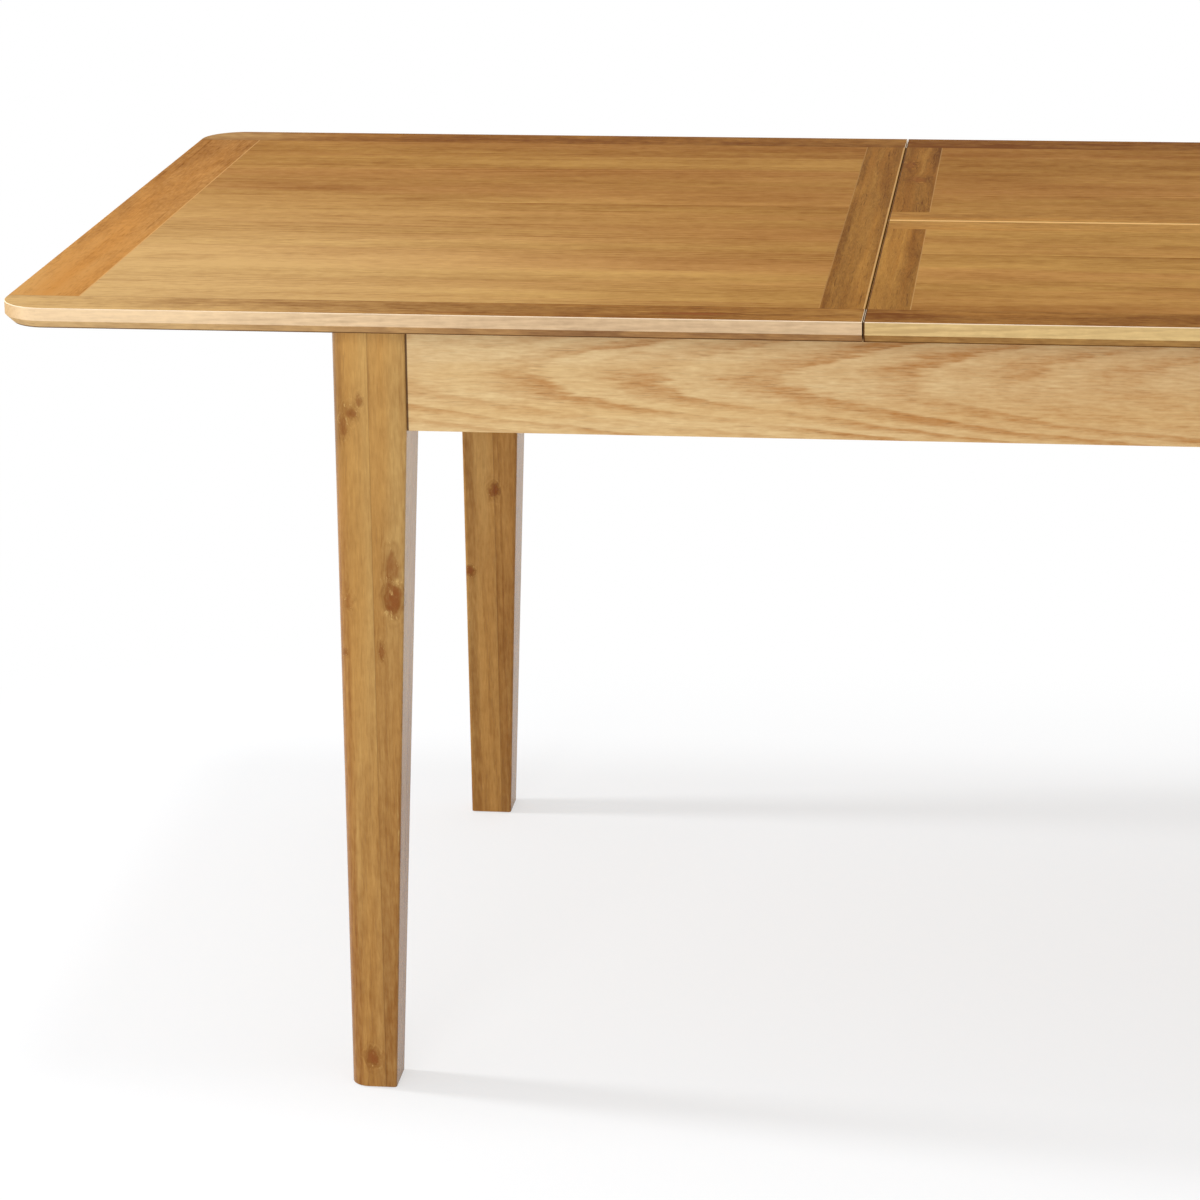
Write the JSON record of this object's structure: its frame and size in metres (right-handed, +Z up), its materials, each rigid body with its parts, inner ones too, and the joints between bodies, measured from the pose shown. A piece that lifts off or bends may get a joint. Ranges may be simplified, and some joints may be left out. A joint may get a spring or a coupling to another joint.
{
  "type": "extending dining table",
  "caption": "Rectangular oak dining table whose top parts on slides round a folding centre leaf, on a framed base with tapered legs.",
  "frame": {"origin": "on the floor, under the centre of the open table", "axes": "+X along the table's length, +Y from the front long side to the rear one, +Z up"},
  "size_m": [2.08, 0.9, 0.775],
  "materials": {
    "oak_field": "clear lacquered oak staves, satin",
    "oak_lipping": "clear lacquered oak, eased edges, satin",
    "oak_end_strip": "warm lacquered oak, grain across the table, satin",
    "oak_cross_strip": "dark streaked lacquered oak, satin",
    "oak_apron": "pale lacquered oak with cathedral grain, satin",
    "oak_leg": "lacquered oak, two staves glued side by side, satin",
    "beech": "planed, unfinished",
    "steel": "zinc plated",
    "aluminium": "mill",
    "brass": "satin",
    "nylon": "matt"
  },
  "bodies": {
    "frame": {"apron_front": "oak_apron", "apron_left": "oak_apron", "apron_rear": "oak_apron", "apron_right": "oak_apron", "channel_screws": "steel", "corner_block_front_left": "beech", "corner_block_front_right": "beech", "corner_block_rear_left": "beech", "corner_block_rear_right": "beech", "foot_glides": "nylon", "hanger_bolts": "steel", "hanger_nuts": "steel", "leg_front_left": "oak_leg", "leg_front_right": "oak_leg", "leg_rear_left": "oak_leg", "leg_rear_right": "oak_leg", "slide_channel_front": "aluminium", "slide_channel_rear": "aluminium", "storage_rails": "beech", "top_pads": "nylon"},
    "top_left": {"left_batten_front": "beech", "left_batten_rear": "beech", "left_batten_screws": "steel", "left_catch_pivots": "steel", "left_end_strip": "oak_end_strip", "left_joint_strip": "oak_cross_strip", "left_leaf_supports": "steel", "left_lipping_front": "oak_lipping", "left_lipping_rear": "oak_lipping", "left_slide_bars": "nylon", "left_top_field": "oak_field"},
    "top_right": {"right_batten_front": "beech", "right_batten_rear": "beech", "right_batten_screws": "steel", "right_catch_pivots": "steel", "right_end_strip": "oak_end_strip", "right_joint_strip": "oak_cross_strip", "right_leaf_supports": "steel", "right_lipping_front": "oak_lipping", "right_lipping_rear": "oak_lipping", "right_slide_bars": "nylon", "right_top_field": "oak_field"},
    "leaf_rear": {"leaf_rear_field": "oak_field", "leaf_rear_hinge_lipping": "oak_lipping", "leaf_rear_hinges": "brass", "leaf_rear_keepers": "brass", "leaf_rear_lipping": "oak_lipping", "leaf_rear_strip_left": "oak_cross_strip", "leaf_rear_strip_right": "oak_cross_strip"},
    "leaf_front": {"leaf_front_field": "oak_field", "leaf_front_hinge_lipping": "oak_lipping", "leaf_front_hinges": "brass", "leaf_front_keepers": "brass", "leaf_front_lipping": "oak_lipping", "leaf_front_strip_left": "oak_cross_strip", "leaf_front_strip_right": "oak_cross_strip"},
    "catch_front_left": {"catch_front_left": "steel"},
    "catch_front_right": {"catch_front_right": "steel"},
    "catch_rear_left": {"catch_rear_left": "steel"},
    "catch_rear_right": {"catch_rear_right": "steel"}
  },
  "joints": [
    {"name": "left_top_slide", "type": "slide", "parent": "frame", "child": "top_left", "axis": [-1, 0, 0], "range_m": [0, 0.03]},
    {"name": "right_top_slide", "type": "slide", "parent": "frame", "child": "top_right", "axis": [1, 0, 0], "range_m": [0, 0.03]},
    {"name": "leaf_lift", "type": "slide", "parent": "frame", "child": "leaf_rear", "axis": [0, 0, 1], "range_m": [0, 0.15]},
    {"name": "leaf_fold", "type": "hinge", "parent": "leaf_rear", "child": "leaf_front", "pos_m": [0, 0, 0.7753], "axis": [-1, 0, 0], "range_deg": [0, 180]},
    {"name": "catch_front_left_swing", "type": "hinge", "parent": "top_left", "child": "catch_front_left", "pos_m": [-0.285, -0.2, 0.752], "axis": [0, 0, -1], "range_deg": [0, 90]},
    {"name": "catch_front_right_swing", "type": "hinge", "parent": "top_right", "child": "catch_front_right", "pos_m": [0.285, -0.2, 0.752], "axis": [0, 0, 1], "range_deg": [0, 90]},
    {"name": "catch_rear_left_swing", "type": "hinge", "parent": "top_left", "child": "catch_rear_left", "pos_m": [-0.285, 0.2, 0.752], "axis": [0, 0, 1], "range_deg": [0, 90]},
    {"name": "catch_rear_right_swing", "type": "hinge", "parent": "top_right", "child": "catch_rear_right", "pos_m": [0.285, 0.2, 0.752], "axis": [0, 0, -1], "range_deg": [0, 90]}
  ]
}
